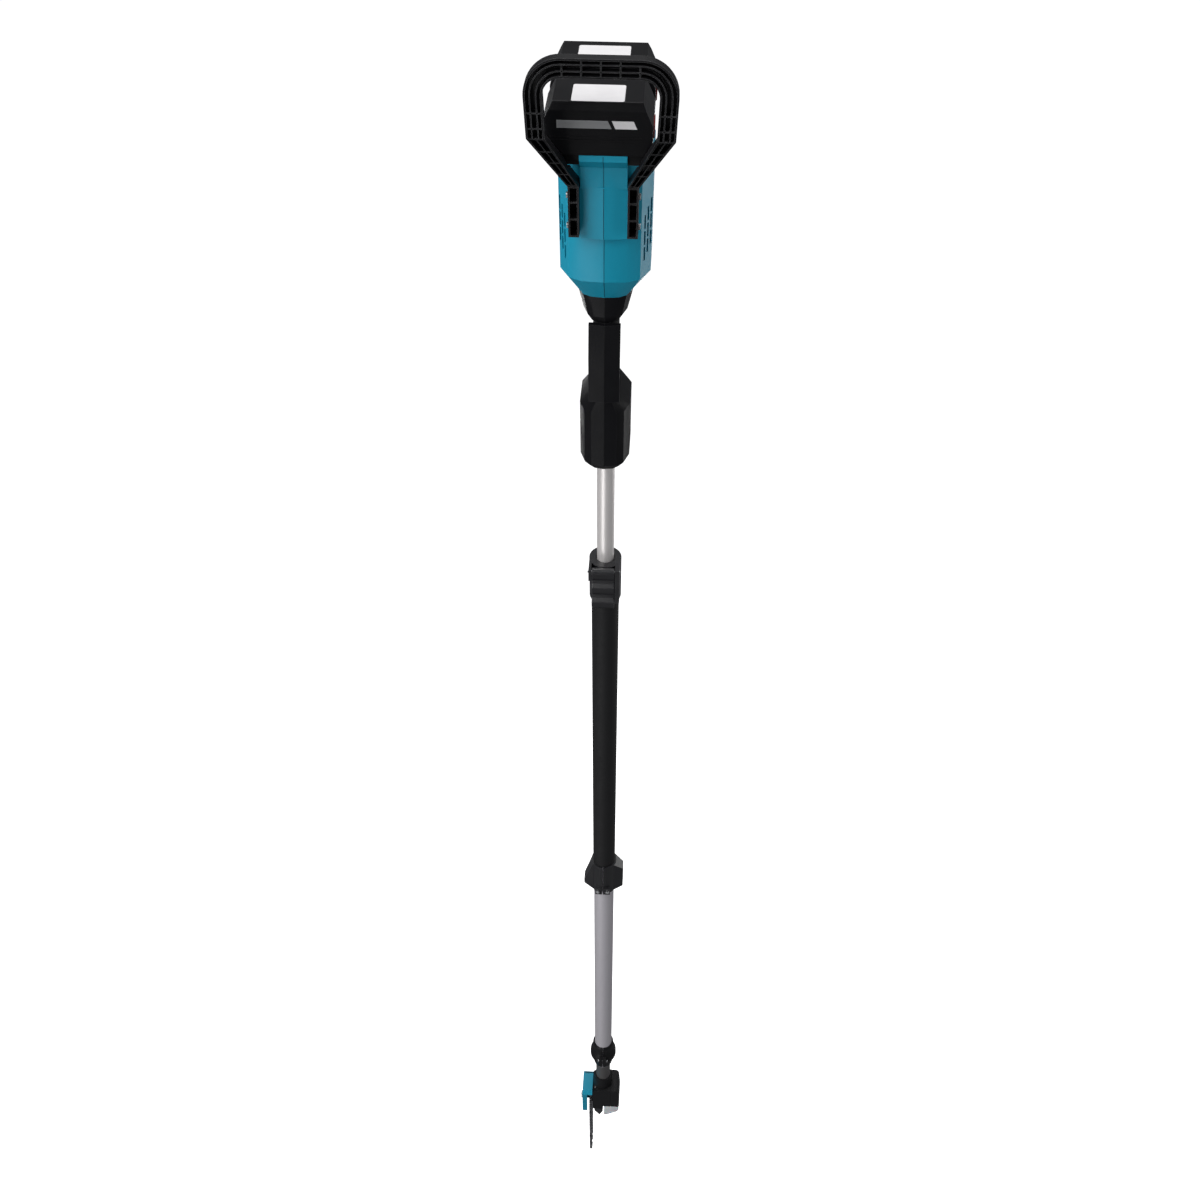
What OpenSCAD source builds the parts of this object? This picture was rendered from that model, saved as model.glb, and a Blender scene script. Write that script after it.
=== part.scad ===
// Telescopic pole saw: a twin-battery motor unit at the top, a two-stage pole,
// and a saw head at the bottom. The pole axis is Z, the motor unit is up, and
// the base loop is on the -Y side. The origin is the middle of the rear grip.

/* [Motor unit] */
// Width of the motor housing, left to right
housing_w = 108; // [100:1:112]
// Length of one battery pack
pack_l = 117; // [112:1:118]
// Width of one battery pack
pack_w = 75; // [72:1:75]
// Depth of one battery pack, from its rails to its bottom
pack_h = 63; // [60:1:66]
// Outer width of the base loop
loop_w = 157; // [150:1:165]
// Height of the base loop's face above the pole axis
loop_y = 128; // [124:1:132]

/* [Handle] */
// Width of the front housing
front_w = 66; // [62:1:70]
// Width of the hand guard strip
guard_w = 39.5; // [36:0.5:42]
// Width of the rear grip
grip_w = 32; // [30:1:34]

/* [Pole] */
// Outer diameter of the rear pipe
inner_pipe_d = 25; // [24:0.5:25.5]
// Outer diameter of the front pipe
outer_pipe_d = 39.5; // [39:0.5:40]
// Outer diameter of the hand sheath on the front pipe
sheath_d = 42; // [41:0.5:44]
// Length of the hand sheath
sheath_l = 721; // [600:1:721]

/* [Saw head] */
// Length of the guide bar from its tail to its tip
bar_l = 324; // [280:1:380]
// Width of the guide bar
bar_w = 40; // [38:1:42]
// Thickness of the guide bar
bar_t = 4; // [3.6:0.1:4.4]
// Width of the saw chain
chain_w = 7; // [6.4:0.1:7.4]

/* [Hidden] */
$fn = 64;
hull_fn = 32;        // facets of round shapes inside hulls
eps = 0.1;           // thickness of a loft's end slab
fit = 0.05;          // radial clearance of a running fit
slide_gap = 0.4;     // clearance between faces that slide past each other
far = 400;           // half size of a cutting block

// Stations along the pole axis
pack_z = 340;                      // batteries' rear faces
mount_z = pack_z - pack_h;         // batteries' rail faces
housing_z = 270;                   // rear end of the motor housing
slope_z = 261;                     // end of the sloping rear facet
ridge_z = 240;                     // rear end of the raised ridge
ridge_end_z = 178;                 // front end of the raised ridge
taper_z = 118;                     // where the housing starts to taper
joint_z = 88;                      // where the handle shells start
nose_z = 60;                       // nose's lower shoulder
grip_z = 50;                       // rear end of the finger opening
front_z = -58;                     // rear end of the front housing
front_full_z = -78;                // where the front housing is full width
front_low_z = -162;                // where its lower chamfer starts
front_end_z = -172;                // front end of the front housing
clamp_z = -378;                    // rear rim of the length clamp
clamp_end_z = -455;                // front rim of the length clamp
sheath_z = clamp_end_z;
stop_z = sheath_z - sheath_l;      // rear end of the hand stop
stop_end_z = stop_z - 90;
coupling_z = -1945;                // rear end of the head coupling
coupling_end_z = -2045;
head_z = -2160;                    // rear end of the saw body
sprocket_z = -2205;                // axis of the chain sprocket
tank_z = -2248;                    // top of the visible oil tank
head_end_z = -2264;                // front end of the saw body
pipe_top_z = -70;                  // rear pipe's top end
pipe_end_z = -1715;                // rear pipe's front end
outer_top_z = -400;                // front pipe's rear end
outer_end_z = -2050;               // front pipe's front end

inner_r = inner_pipe_d / 2;
inner_bore_r = inner_r - 2;
outer_r = outer_pipe_d / 2;
outer_bore_r = outer_r - 1.55;
sheath_r = sheath_d / 2;

// Batteries
pack_x = -6;                       // packs sit off the pole axis
pack_y = 48;                       // height of each pack's middle
rail_y = 22;
rail_w = 6;
rail_h = 6;
foot_h = 7;                        // narrower foot of a pack, behind the housing's lip
foot_inset = 4;

// Drive line
rod_r = 4;
tube_r = 6;
tube_top_z = -760;                 // telescopic tube starts below the upper bushes
rod_end_z = -2000;                 // leaves overlap in the tube at full extension
stator_r = 30;
rotor_r = 16.5;
bearing_r = 11;

// Saw head
cover_x = -50;                     // outer face of the sprocket cover
body_x = -25;                      // bar side of the saw body
body_x2 = 20;                      // tank side of the saw body
bar_x = -30.5;                     // middle of the bar's thickness
body_y = -30;
body_y2 = 27;
tension_x = -20;
tension_y = 20;
tension_r = 2.5;
tail_z = -2228;
nose_centre_z = tail_z - bar_l + bar_w / 2;
stud_z = [-2238, -2254];
chain_h = 7;
boss_r = 7.6;                       // the two stud bosses stay apart
sprocket_r = 14;

// ---------- shared shapes ----------

// Right half of a chamfered section: width w, front height f (-Y), back height b (+Y)
function section(w, f, b) = [[0, -f], [0.25 * w, -f + 2], [0.39 * w, -0.84 * f], [0.5 * w, -0.48 * f],
    [0.5 * w, 0.5 * b], [0.39 * w, 0.84 * b], [0.2 * w, b], [0, b]];
// The full outline from its right half
function both(p) = concat(p, [for (i = [len(p) - 1:-1:0]) if (p[i][0] > 0.01) [-p[i][0], p[i][1]]]);

module prism(z1, z2, p) {
    translate([0, 0, z2]) linear_extrude(z1 - z2) polygon(both(p));
}
module loft(z1, p1, z2, p2) {
    hull() {
        prism(z1, z1 - eps, p1);
        prism(z2 + eps, z2, p2);
    }
}
module mirror_x(s) {
    if (s > 0) children(); else mirror([1, 0, 0]) children();
}
module side(s) {
    intersection() {
        children();
        translate([s > 0 ? 0 : -far, -far, -far]) cube([far, 2 * far, 2 * far]);
    }
}
module tube(z1, z2, r, bore) {
    translate([0, 0, z2]) difference() {
        cylinder(r = r, h = z1 - z2);
        translate([0, 0, -1]) cylinder(r = bore, h = z1 - z2 + 2);
    }
}
module rod(z1, z2, r) {
    translate([0, 0, z2]) cylinder(r = r, h = z1 - z2);
}
module rod_x(x1, x2, y, z, r) {
    translate([x1, y, z]) rotate([0, 90, 0]) cylinder(r = r, h = x2 - x1);
}
module rod_y(y1, y2, x, z, r) {
    translate([x, y1, z]) rotate([-90, 0, 0]) cylinder(r = r, h = y2 - y1);
}
module box(x1, x2, y1, y2, z1, z2) {
    translate([x1, y1, z2]) cube([x2 - x1, y2 - y1, z1 - z2]);
}
// A side profile of [y, z] points, extruded from x1 to x2
module profile_x(x1, x2, p) {
    translate([x1, 0, 0]) rotate([90, 0, 90]) linear_extrude(x2 - x1) polygon(p);
}
// A front profile of [x, z] points, extruded from y1 to y2
module profile_y(y1, y2, p) {
    translate([0, y2, 0]) rotate([90, 0, 0]) linear_extrude(y2 - y1) polygon(p);
}
module socket_screw_y(x, y, z, len, head) {
    difference() {
        union() {
            rod_y(y, y + len, x, z, head / 2);
            rod_y(y - head, y, x, z, head * 0.85);
        }
        rod_y(y - head - 1, y - head / 2, x, z, head * 0.45);
    }
}

// ---------- motor housing ----------

main_section = section(housing_w, 62, 60);
rear_section = section(housing_w - 6, 55, 54);
taper_section = section(67, 46, 42);
wall = 3;
cavity_section = section(housing_w - 2 * wall, 62 - wall, 60 - wall);
throat_section = section(58, 42, 38);
ridge_w = 54;
cavity_z = 258;                     // rear end of the cavity
vent_columns = 3;
vent_rows = 3;

module vents(s) {
    for (i = [0:vent_columns - 1], j = [0:vent_rows - 1])
        translate([s * 50, -47 + 8 * i, 187 - 20 * j + 8 * i]) rotate([0, 0, s * -32])
            cube([30, 3.6, 17.5], center = true);
}
// Lip that wraps one pack's foot, on the side s of the housing
module pack_lip(s, y0) {
    profile_x(-26, 26, [[s * 50, 238], [s * y0, ridge_z - 1.5], [s * 73.5, 265], [s * 84.5, 276.3],
        [s * 84.5, 283.4], [s * 82.3, 283.4], [s * 82.3, mount_z - 0.5], [s * 77.8, mount_z - 0.5],
        [s * 77.8, housing_z], [s * 60, 262.5], [s * 50, 259.5]]);
}
module housing_outer() {
    pack_lip(-1, 69.7);
    pack_lip(1, 58);
    loft(housing_z, rear_section, slope_z, main_section);
    prism(slope_z, taper_z, main_section);
    loft(taper_z, main_section, joint_z, taper_section);
    translate([0, 0, ridge_end_z]) linear_extrude(ridge_z - ridge_end_z)
        polygon([[-ridge_w / 2, -50], [-ridge_w / 2, -68], [0, -71], [ridge_w / 2, -68], [ridge_w / 2, -50]]);
}
module housing_cavity() {
    difference() {
        union() {
            prism(cavity_z, taper_z, cavity_section);
            prism(taper_z, joint_z - 1, throat_section);
        }
        tube(219, 207, 80, bearing_r);
        tube(155, 145, 80, stator_r);
        tube(120, 108, 80, bearing_r);
    }
}
module motor_housing(s) {
    color("#1f86a0") side(s) difference() {
        housing_outer();
        housing_cavity();
        vents(s);
        box(-20, 20, -8, 8, 280, 255);
    }
}
module motor_housing_left() { motor_housing(-1); }
module motor_housing_right() { motor_housing(1); }

// ---------- handle shells ----------

nose_section = section(54, 45, 37);
nose_end_section = section(40, 42, 31);
front_section = section(front_w, 55, 40);
front_shoulder = section(guard_w, 55, 30);
front_chamfer = section(front_w - 16, 49, 34);
guard_t = 6;
guard_y = 57;
guard_rise = 9;
bend_z = 5;
button_z = -104;
trigger_z = -22;
trigger_y = -14;
lock_z = 34;
lock_y = 14.5;
pocket_w = 14.4;
lock_w = 10.8;
trigger_pin_x = 9.8;               // half length of the trigger pin, inside the grip's core
lock_pin_x = 9.6;                  // half length of the lock-off pin, inside the grip's core

function guard_section(y) = [[0, -y], [guard_w / 2, -y + 2.5], [guard_w / 2, -y + guard_t + 1.5],
    [0, -y + guard_t]];

module grip_outline(grow) {
    hull() {
        translate([0, 5]) circle(r = grip_w / 2 + grow);
        translate([0, -5]) circle(r = grip_w / 2 + grow);
    }
}
module handle_outer() {
    loft(joint_z, taper_section, nose_z, nose_section);
    loft(nose_z, nose_section, grip_z, nose_end_section);
    loft(grip_z + eps, guard_section(guard_y - guard_rise), bend_z, guard_section(guard_y));
    prism(bend_z, front_z, guard_section(guard_y));
    loft(front_z, front_shoulder, front_full_z, front_section);
    prism(front_full_z, front_low_z, front_section);
    loft(front_low_z, front_section, front_end_z, front_chamfer);
    translate([0, 0, front_z]) linear_extrude(grip_z - front_z) grip_outline(-1.5);
}
module handle_hollows() {
    prism(joint_z + 1, nose_z + 4, section(46, 36, 30));
    rod(joint_z, pipe_top_z - 10, 8.5);
    rod(pipe_top_z, front_end_z - 1, 17);
    box(-pocket_w / 2, pocket_w / 2, -40, -9.5, 46, -27);
    box(-lock_w / 2, lock_w / 2, 10, 40, 41, -13);
    rod_y(32, 50, 0, button_z, 6.6);
    rod_x(-trigger_pin_x, trigger_pin_x, trigger_y, trigger_z, 1.5);
    rod_x(-lock_pin_x, lock_pin_x, lock_y, lock_z, 1.5);
}
module handle(s) {
    color("#26272a") side(s) difference() {
        handle_outer();
        handle_hollows();
        rod_x(s * 26 - 20, s * 26 + 20, -25, -108, 2.6);
    }
}
module handle_left() { handle(-1); }
module handle_right() { handle(1); }

module grip_overmould() {
    color("#303134") difference() {
        translate([0, 0, front_z + 8]) linear_extrude(grip_z - front_z - 16) difference() {
            grip_outline(0.5);
            grip_outline(-1.5);
        }
        box(-pocket_w / 2 - 1, pocket_w / 2 + 1, -40, 0, 46, -27);
        box(-lock_w / 2 - 1, lock_w / 2 + 1, 0, 40, 43, -15);
    }
}
module control_panel() {
    color("#3a3b3f") difference() {
        box(-12, 12, 40, 41.2, button_z + 22, button_z - 22);
        rod_y(39, 43, 0, button_z, 6.6);
    }
}
module power_button() { color("#b9bcc0") rod_y(34.5, 42.4, 0, button_z, 6); }

module trigger() {
    color("#202124") difference() {
        union() {
            profile_x(-pocket_w / 2 + 0.5, pocket_w / 2 - 0.5,
                [[-14, 16], [-11.5, trigger_z], [-14, -25.5], [-22, -25], [-27.5, -16],
                    [-27, 2], [-29, 14], [-26, 17]]);
            rod_x(-pocket_w / 2 + 0.5, pocket_w / 2 - 0.5, trigger_y, trigger_z, 3.4);
        }
        rod_x(-20, 20, trigger_y, trigger_z, 1.5 + fit);
    }
}
module trigger_pin() { color("silver") rod_x(-trigger_pin_x, trigger_pin_x, trigger_y, trigger_z, 1.5); }
module lock_off_lever() {
    color("#1d1e20") difference() {
        profile_x(-lock_w / 2 + 0.5, lock_w / 2 - 0.5,
            [[11.5, 37], [11.5, 31], [17, 24], [17.5, -9], [22, -11.5], [26.5, -6],
                [25, 12], [23, 30], [19, 38.5]]);
        rod_x(-20, 20, lock_y, lock_z, 1.5 + fit);
    }
}
module lock_off_pin() { color("silver") rod_x(-lock_pin_x, lock_pin_x, lock_y, lock_z, 1.5); }
module trigger_switch() {
    color("#44464a") difference() {
        box(-6.8, 6.8, -19.5, -9.5, 45.5, 21);
        box(-3, 3, -20, -16, 23, 20);
    }
}
module strap_bracket() {
    color("#8d9094") difference() {
        union() {
            box(-4, 4, 40, 50, -130, -154);
            rod_x(-4, 4, 50, -142, 12);
        }
        rod_x(-6, 6, 50, -142, 6);
        box(-6, 6, 30, 40, -120, -165);
    }
}

// ---------- base loop ----------

loop_band = 19.6;
loop_depth = 12;
loop_top_z = 402;
loop_side_z = 320;
loop_corner = 38;
stem_x = 39;
stem_w = 12;
stem_y = 82;
stem_depth = 22;
pack_front_y = -pack_y - pack_w / 2;
stem_top_z = 246;
stem_end_z = 186;

module loop_outline(inset) {
    w = loop_w / 2 - inset;
    r = loop_corner - inset;
    top = loop_top_z - inset;
    polygon(concat([for (a = [0:7.5:90]) [w - r + r * cos(a), top - r + r * sin(a)]],
        [for (a = [90:7.5:180]) [-w + r + r * cos(a), top - r + r * sin(a)]],
        [[-w + 1.5, loop_side_z - 1], [w - 1.5, loop_side_z - 1]]));
}
module base_loop() {
    color("#232427") {
        difference() {
            translate([0, -loop_y + loop_depth, 0]) rotate([90, 0, 0]) linear_extrude(loop_depth) difference() {
                loop_outline(0);
                loop_outline(loop_band);
                translate([-far, loop_side_z - far]) square([2 * far, far]);
            }
        }
        for (s = [-1, 1]) {
            difference() {
                hull() {
                    translate([s * (loop_w / 2 - 1.5 - loop_band / 2), loop_depth / 2 - loop_y, loop_side_z - 0.5])
                        cube([loop_band - 0.2, loop_depth, 1], center = true);
                    translate([s * (stem_x - stem_w / 2), stem_depth / 2 - stem_y, stem_top_z + 0.5])
                        cube([stem_w, stem_depth, 1], center = true);
                }
                box(-loop_w, loop_w, pack_front_y - 0.7, 0, far, housing_z - 0.6);
            }
            box(s > 0 ? stem_x - stem_w : -stem_x, s > 0 ? stem_x : stem_w - stem_x, -stem_y,
                stem_depth - stem_y, stem_top_z, stem_end_z);
        }
    }
}
module loop_screws() {
    color("#5b5d61") for (s = [-1, 1], z = [stem_end_z + 10, stem_top_z - 14]) mirror_x(s) difference() {
        rod_x(stem_x, stem_x + 2.4, -72, z, 3.8);
        rod_x(stem_x + 1.2, stem_x + 3, -72, z, 1.9);
    }
}
module housing_screws() {
    color("#6b6e73") for (p = [[-54, 5, 240], [-54, 5, 125]]) difference() {
        rod_x(p[0] - 1.6, p[0], p[1], p[2], 3.6);
        rod_x(p[0] - 2, p[0] - 0.8, p[1], p[2], 1.8);
    }
}

// ---------- batteries ----------

module battery_mount(s) {
    y = s * pack_y;
    color("#1c1d1f") {
        box(pack_x - 50, pack_x + 50, y - 29.5, y + 29.5, mount_z - 0.5, housing_z);
        for (e = [-1, 1]) box(pack_x - 46, pack_x + 40, y + e * rail_y - rail_w / 2, y + e * rail_y + rail_w / 2,
            mount_z + rail_h, mount_z - 0.5);
    }
}
module battery_mount_near() { battery_mount(-1); }
module battery_mount_far() { battery_mount(1); }

module pack_outline(grow) {
    l = pack_l / 2 + grow;
    polygon([[pack_x - l, mount_z - grow], [pack_x + l - 4, mount_z - grow], [pack_x + l, mount_z + 6],
        [pack_x + l, pack_z - 24], [pack_x + l - 11, pack_z + grow], [pack_x - l + 11, pack_z + grow],
        [pack_x - l, pack_z - 22]]);
}
module pack_section() {
    w = pack_w / 2;
    foot_z = mount_z + foot_h;
    profile_x(pack_x - pack_l, pack_x + pack_l, [[foot_inset - w, mount_z], [foot_inset - w, foot_z], [-w, foot_z],
        [-w, pack_z - 8], [5 - w, pack_z], [w - 5, pack_z], [w, pack_z - 8], [w, foot_z], [w - foot_inset, foot_z],
        [w - foot_inset, mount_z]]);
}
module battery(s) {
    y = s * pack_y;
    color("#2a2b2e") difference() {
        intersection() {
            translate([0, y + pack_w / 2, 0]) rotate([90, 0, 0]) linear_extrude(pack_w) pack_outline(0);
            translate([0, y, 0]) pack_section();
        }
        box(pack_x - 50, pack_x + 49, y - 33.5, y + 33.5, mount_z + 52, mount_z + 10.5);
        for (e = [-1, 1]) box(pack_x - 70, pack_x + 42, y + e * rail_y - rail_w / 2 - 0.5,
            y + e * rail_y + rail_w / 2 + 0.5, mount_z + rail_h + 0.5, mount_z - 1);
        box(pack_x + pack_l / 2 - 7, pack_x + pack_l / 2 + 2, y - 15, y + 15, pack_z - 26, pack_z - 47);
    }
}
module battery_near() { battery(-1); }
module battery_far() { battery(1); }
module cells(s) {
    color("#3f8f5a") for (i = [0:4], j = [0:1])
        rod_y(s * pack_y - 33, s * pack_y + 33, pack_x - 39 + 19 * i, mount_z + 21 + 20 * j, 9);
}
module battery_near_cells() { cells(-1); }
module battery_far_cells() { cells(1); }
module pack_button(s) {
    x = pack_x + pack_l / 2;
    color("#7d1f1f") difference() {
        box(x - 6.4, x + 1.5, s * pack_y - 14, s * pack_y + 14, pack_z - 32, pack_z - 46);
        for (i = [0:2]) box(x + 0.7, x + 3, s * pack_y - 11, s * pack_y + 11,
            pack_z - 34.5 - 3.5 * i, pack_z - 36 - 3.5 * i);
    }
}
module battery_near_button() { pack_button(-1); }
module battery_far_button() { pack_button(1); }

// ---------- motor and drive line ----------

module stator() {
    color("#b06a2c") difference() {
        rod(172, 130, stator_r);
        rod(173, 129, rotor_r + 0.5);
        for (a = [0:60:359]) rotate([0, 0, a]) translate([0, 0, 168]) box(19, 27, -3, 3, 6, 0);
    }
}
module bearing(z1, z2) { color("silver") tube(z1, z2, bearing_r, rod_r + fit); }
module rear_bearing() { bearing(216, 209); }
module front_bearing() { bearing(118, 111); }
module rotor() {
    color("#77797d") difference() {
        rod(170, 132, rotor_r);
        rod(171, 131, rod_r);
    }
}
module cooling_fan() {
    color("#e4e4e0") difference() {
        union() {
            rod(190, 187, 36);
            for (a = [0:30:359]) rotate([0, 0, a]) box(12, 35, -0.8, 0.8, 200, 190);
            rod(200, 190, 12.5);
        }
        rod(201, 186, rod_r);
    }
}
module drive_shaft() { color("#a8abb0") rod(222, rod_end_z, rod_r); }
module control_board() {
    color("#1e5c38") difference() {
        union() {
            box(-40, 40, -30, 30, 240, 237);
            box(-24, 6, -18, 18, 252, 240);
            box(14, 30, -14, 14, 248, 240);
        }
        box(30, 36, -22, 22, 241, 236);
    }
}

// ---------- pole ----------

module inner_pipe() { color("#d9d8d6") tube(pipe_top_z, pipe_end_z, inner_r, inner_bore_r); }
module slider_bush() { color("#e6e2d6") tube(pipe_end_z + 40, pipe_end_z, outer_bore_r - fit, inner_r); }
module pipe_holder() { color("#3b3c3f") tube(pipe_top_z - 5, front_end_z + 8, 17, inner_r); }
module shaft_bushes() {
    color("#e6e2d6") {
        tube(-120, -132, inner_bore_r, rod_r + fit);
        tube(-500, -512, inner_bore_r, rod_r + fit);
        tube(pipe_end_z + 26, pipe_end_z + 8, inner_bore_r, tube_r + 0.4);
    }
}
module outer_pipe() { color("#a7a5a8") tube(outer_top_z, outer_end_z, outer_r, outer_bore_r); }
module pole_sheath() { color("#2b2b2e") tube(sheath_z, stop_z, sheath_r, outer_r); }
module pipe_bush() {
    color("#d5d2c6") {
        tube(outer_top_z, outer_top_z - 50, outer_bore_r, inner_r + fit);
        tube(clamp_z - 8, outer_top_z, outer_r, inner_r + fit);
    }
}

// Length clamp: a split ring with lugs for the lever's pin
pin_y = -29;
pin_z = clamp_z - 4;
lever_x1 = -19;
lever_x2 = 15;
module clamp_body() {
    color("#2e2f33") difference() {
        union() {
            intersection() {
                rod(clamp_z, clamp_end_z, 24);
                box(-30, 30, -22.3, 22.5, clamp_z, clamp_end_z);
            }
            box(lever_x2 + 0.6, 22.5, -33, 0, clamp_z + 1, clamp_end_z + 12);
            box(-23.5, lever_x1 - 0.6, -33, 0, clamp_z + 1, clamp_z - 20);
            box(-6, 6, 18, 27, clamp_z - 10, clamp_end_z + 12);
        }
        rod(clamp_z + 2, clamp_z - 8, inner_r + 1);
        rod(clamp_z - 8, clamp_end_z - 1, outer_r);
        box(-1, 1, 15, 30, clamp_z + 1, clamp_end_z - 1);
        rod_x(-30, 30, pin_y, pin_z, 2);
        rod_x(-30, 30, 23.5, clamp_z - 40, 2.2);
    }
}
module clamp_pin() {
    color("silver") {
        rod_x(-25, 23.5, pin_y, pin_z, 2);
        rod_x(-9, 9, 23.5, clamp_z - 40, 2.2);
    }
}
tooth = 29.5;
module clamp_lever() {
    teeth = [for (i = [0:2]) each [[-28.5, pin_z + 6 - tooth * i], [-35, pin_z + 0.5 - tooth * i],
        [-33.5, pin_z - 11 - tooth * i], [-28.5, pin_z - 17 - tooth * i]]];
    color("#36373b") difference() {
        union() {
            profile_x(lever_x1, lever_x2, concat([[-23.2, pin_z - 77], [-23.2, pin_z]], teeth));
            rod_x(lever_x1, lever_x2, pin_y, pin_z, 6.2);
        }
        rod_x(-30, 30, pin_y, pin_z, 2 + fit);
    }
}

// Hand stop: a ring with two ears, one lower than the other
module ear(s, reach, z1, rim_z1, rim_z2, z2) {
    hull() {
        rod_y(-9, 9, s * (reach - 4), rim_z1, 4);
        rod_y(-9, 9, s * (reach - 4), rim_z2, 4);
        rod_y(-14, 14, s * 18, z1, 3);
        rod_y(-14, 14, s * 18, z2, 3);
    }
}
module hand_stop() {
    color("#29292c") difference() {
        union() {
            rod(stop_z, stop_end_z, 24);
            ear(-1, 38.5, stop_z - 4, stop_z - 64, stop_z - 74, stop_z - 87, $fn = hull_fn);
            ear(1, 37.5, stop_z - 4, stop_z - 22, stop_z - 78, stop_z - 87, $fn = hull_fn);
            box(-16, 13, -27, -10, stop_end_z + 22, stop_end_z + 2);
        }
        rod(stop_z + 1, stop_end_z - 1, outer_r);
        box(-2.5, -0.5, -30, -15, stop_z + 1, stop_end_z - 1);
    }
}
module hand_stop_screws() {
    color("#7b7d81") for (x = [-11, 8]) difference() {
        rod_y(-29.5, -27, x, stop_end_z + 12, 3.6);
        rod_y(-30, -28, x, stop_end_z + 12, 1.8);
    }
}

// ---------- head coupling and gear case ----------

module head_coupling() {
    color("#222326") difference() {
        union() {
            rotate_extrude() polygon([[0, coupling_z], [21.5, coupling_z], [24, coupling_z - 6],
                [24, coupling_z - 26], [30, coupling_z - 44], [30.3, coupling_z - 60], [25.5, coupling_z - 76],
                [21.5, coupling_end_z], [0, coupling_end_z]]);
            box(-8, 8, -34, -20, coupling_z - 34, coupling_z - 66);
        }
        rod(coupling_z + 1, coupling_end_z - 1, outer_r);
        box(-1, 1, -40, -15, coupling_z + 1, coupling_end_z - 1);
        rod_x(-40, 40, -27, coupling_z - 50, 2.6);
        rod_x(8, 40, -27, coupling_z - 50, 5);
        rod_x(-40, -8, -27, coupling_z - 50, 5);
    }
}
module coupling_bolts() {
    color("#8a8c90") {
        rod_x(-8, 8, -27, coupling_z - 50, 2.6);
        rod_x(8, 12, -27, coupling_z - 50, 4.6);
        rod_x(-11, -8, -27, coupling_z - 50, 4.6);
    }
}
case_x1 = -20;
case_x2 = 17;
case_y = 21;
module gear_case() {
    color("#b9babd") difference() {
        union() {
            rod(outer_end_z + 45, outer_end_z, outer_bore_r);
            rod(outer_end_z, head_z - 4, 17);
            box(case_x1, case_x2, -case_y, case_y, head_z - 4, sprocket_z - 20);
        }
        rod(outer_end_z + 46, -2100, 9);
        rod(-2099, head_z - 9, tube_r + fit);
        box(case_x1 + 4, case_x2 - 4, -case_y + 3, case_y - 3, head_z - 8, sprocket_z - 17);
        rod_x(case_x1 - 1, case_x1 + 5, 0, sprocket_z, 5 + fit);
    }
}
// Bevel teeth: shallow grooves cut along a cone about Z, large end at z1
module bevel(z1, r1, z2, r2, n) {
    difference() {
        translate([0, 0, z2]) cylinder(r1 = r2, r2 = r1, h = z1 - z2);
        for (a = [0:n - 1]) rotate([0, 0, a * 360 / n]) translate([r1, 0, z1])
            rotate([0, atan((r1 - r2) / (z1 - z2)), 0])
            cube([2, 1.2, 4 * (z1 - z2)], center = true);
    }
}
module drive_tube() {
    color("#9a9da2") {
        difference() {
            rod(tube_top_z, -2170, tube_r);
            rod(tube_top_z + 1, -2155, rod_r + fit);
        }
        rod(-2170, sprocket_z + 16, 5);
        translate([0, 0, sprocket_z]) bevel(16, 12.4, 10, 7.6, 12);
    }
}
module bevel_gear() {
    color("#8f9297") translate([0, 0, sprocket_z]) rotate([0, -90, 0]) difference() {
        bevel(12.8, 15.6, 8, 9.6, 15);
        translate([0, 0, 5]) cylinder(r = 5, h = 10);
    }
}
module chain_sprocket() {
    color("#85888d") {
        rod_x(-38, -8, 0, sprocket_z, 5);
        difference() {
            rod_x(bar_x - 3, bar_x + 3, 0, sprocket_z, sprocket_r);
            rod_x(bar_x - 4, bar_x + 4, 0, sprocket_z, 5);
            for (a = [0:60:359]) translate([0, 0, sprocket_z]) rotate([a, 0, 0])
                rod_x(bar_x - 1, bar_x + 1, 0, sprocket_r, 3);
        }
    }
}

// ---------- saw head ----------

module saw_body() {
    color("#1f2022") difference() {
        union() {
            profile_y(body_y, body_y2, [[body_x, head_z - 14], [body_x + 10, head_z - 2], [body_x2, head_z],
                [body_x2, tank_z], [1.5, tank_z], [1.5, head_end_z], [body_x, head_end_z]]);
            box(bar_x + bar_t / 2 + slide_gap, body_x, -12, 12, stud_z[0] + 8, head_end_z);
            intersection() {
                translate([0, 0, head_z - 3]) cylinder(r1 = 25, r2 = 19.5, h = 41);
                box(body_x, body_x2, body_y, body_y2, head_z + 40, head_z - 4);
            }
        }
        box(case_x1, case_x2, -case_y, case_y, head_z - 4, sprocket_z - 20);
        rod(head_z + 40, head_z - 5, 17);
        rod_x(body_x - 1, case_x1, 0, sprocket_z, 8);
        for (z = stud_z) rod_x(-34, body_x + 8, 0, z, 4);
        translate([tension_x, tension_y, 0]) rod(head_end_z + 30, head_end_z - 1, tension_r + fit);
    }
}
module bumper() {
    color("#2c2d30") profile_y(body_y, body_y + 9, [[-21, head_end_z], [-20, head_end_z - 14],
        [-12, head_end_z - 28], [-7.6, head_end_z - 38], [-3, head_end_z - 26], [1, head_end_z - 16], [1, head_end_z]]);
}
module tank_guard() {
    color("#202123") difference() {
        profile_y(body_y, body_y2, [[body_x2, head_z], [body_x2 + 14, head_z], [body_x2 + 19, head_z - 10],
            [body_x2 + 22, head_z - 60], [body_x2 + 22, tank_z + 4], [body_x2 + 20, tank_z], [body_x2, tank_z]]);
        box(body_x2 + 3, body_x2 + 16, body_y + 3, body_y2 - 3, head_z - 12, tank_z - 1);
    }
}
function tank_profile(g) = [[4 + g, tank_z - g], [41 - g, tank_z - g], [41 - g, tank_z - 22],
    [36 - g, tank_z - 33 + g], [10, tank_z - 55 + g], [4 + g, tank_z - 55 + g]];
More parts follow.
